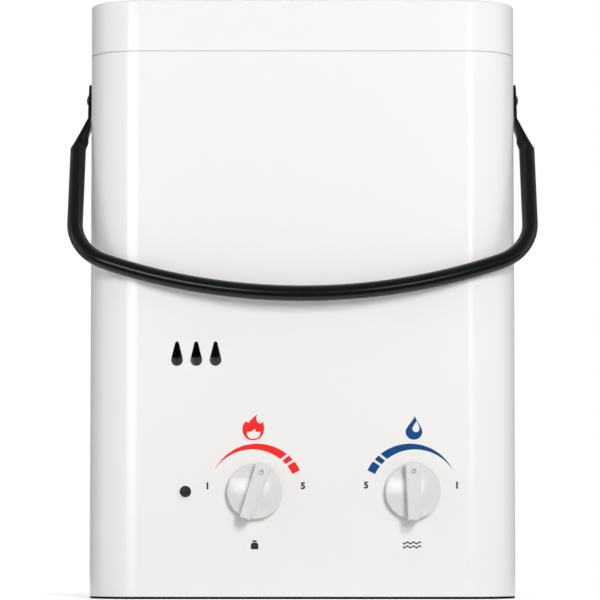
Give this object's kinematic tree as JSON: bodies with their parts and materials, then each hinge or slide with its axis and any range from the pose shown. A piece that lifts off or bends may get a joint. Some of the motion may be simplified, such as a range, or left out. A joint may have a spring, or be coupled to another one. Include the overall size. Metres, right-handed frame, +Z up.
{
  "type": "portable gas water heater",
  "caption": "Portable gas water heater: white steel casing with a swinging black bail, gas and water knobs, flame-viewing holes and hose and gas nipples in its base.",
  "frame": {"origin": "on the underside of the base tray, in the middle of the casing in plan", "axes": "+X right seen from the front, +Y to the rear, +Z up; the knobs face -Y"},
  "size_m": [0.329, 0.1532, 0.4165],
  "materials": {
    "white_enamel": "satin",
    "black_tray": "satin",
    "black_enamel": "satin",
    "black_steel": "satin",
    "grille_steel": "matte",
    "zinc_sheet": "satin",
    "zinc_hardware": "satin",
    "spindle_steel": "satin",
    "knob_plastic": "satin",
    "button_plastic": "gloss",
    "black_plastic": "matte",
    "copper": "satin",
    "brass": "satin",
    "burner_steel": "matte",
    "cast_alloy": "matte",
    "coil_paint": "gloss",
    "white_ceramic": "gloss",
    "valve_rubber": "matte",
    "filter_plastic": "satin",
    "cell_can": "satin",
    "lead_rubber": "satin",
    "loom_rubber": "matte"
  },
  "bodies": {
    "heater": {"front_cover": "white_enamel", "top_cap": "white_enamel", "exhaust_grille": "grille_steel", "back_plate": "zinc_sheet", "base_tray": "black_tray", "hanging_bracket": "zinc_sheet", "bracket_rivets": "zinc_hardware", "cover_screws": "zinc_hardware", "cap_screws": "zinc_hardware", "handle_screws": "black_steel", "handle_washers": "black_steel", "handle_brackets": "zinc_sheet", "handle_nuts": "zinc_hardware", "button_bezel": "knob_plastic", "button_switch": "black_plastic", "chamber_shell": "copper", "exchanger_fins": "copper", "exchanger_tubes": "copper", "jacket_coil": "copper", "cold_pipe": "copper", "hot_pipe": "copper", "pipe_nuts": "brass", "flue_hood": "zinc_sheet", "overheat_switch": "white_ceramic", "chamber_brackets": "zinc_sheet", "burner_frame": "zinc_sheet", "burner_bars": "burner_steel", "gas_manifold": "cast_alloy", "injectors": "brass", "electrodes": "white_ceramic", "electrode_bracket": "zinc_sheet", "gas_valve_body": "cast_alloy", "solenoid_valve": "coil_paint", "gas_inlet": "brass", "water_valve_body": "brass", "diaphragm": "valve_rubber", "diaphragm_cover": "brass", "diaphragm_screws": "zinc_hardware", "microswitch": "black_plastic", "water_inlet": "brass", "inlet_filter": "filter_plastic", "water_outlet": "brass", "relief_valve": "brass", "ignition_module": "black_plastic", "battery_box": "black_plastic", "battery_cells": "cell_can", "battery_contact": "zinc_hardware", "ignition_lead": "lead_rubber", "wiring_loom": "loom_rubber"},
    "handle": {"handle_bail": "black_enamel"},
    "gas_control": {"gas_knob": "knob_plastic", "gas_spindle": "spindle_steel"},
    "water_control": {"water_knob": "knob_plastic", "water_spindle": "spindle_steel"},
    "button": {"power_button": "button_plastic"},
    "battery_hatch": {"battery_door": "black_tray", "door_contact": "zinc_hardware"},
    "flow_rod": {"push_rod": "spindle_steel"}
  },
  "joints": [
    {"name": "handle_swing", "type": "hinge", "parent": "heater", "child": "handle", "pos_m": [0, 0, 0.3537], "axis": [-1, 0, 0], "range_deg": [0, 299.5]},
    {"name": "gas_turn", "type": "hinge", "parent": "heater", "child": "gas_control", "pos_m": [-0.033, -0.0635, 0.074], "axis": [0, 1, 0], "range_deg": [-83, 45]},
    {"name": "water_turn", "type": "hinge", "parent": "heater", "child": "water_control", "pos_m": [0.0762, -0.0635, 0.074], "axis": [0, 1, 0], "range_deg": [-63, 65]},
    {"name": "button_push", "type": "slide", "parent": "heater", "child": "button", "axis": [0, 1, 0], "range_m": [0, 0.0018], "stiffness_N_per_m": 600, "springref_m": -0.001},
    {"name": "battery_door_swing", "type": "hinge", "parent": "heater", "child": "battery_hatch", "pos_m": [-0.1028, 0, 0.003], "axis": [0, -1, 0], "range_deg": [0, 90]},
    {"name": "flow_rod_slide", "type": "slide", "parent": "heater", "child": "flow_rod", "axis": [-1, 0, 0], "range_m": [0, 0.003], "stiffness_N_per_m": 800, "springref_m": -0.002}
  ]
}
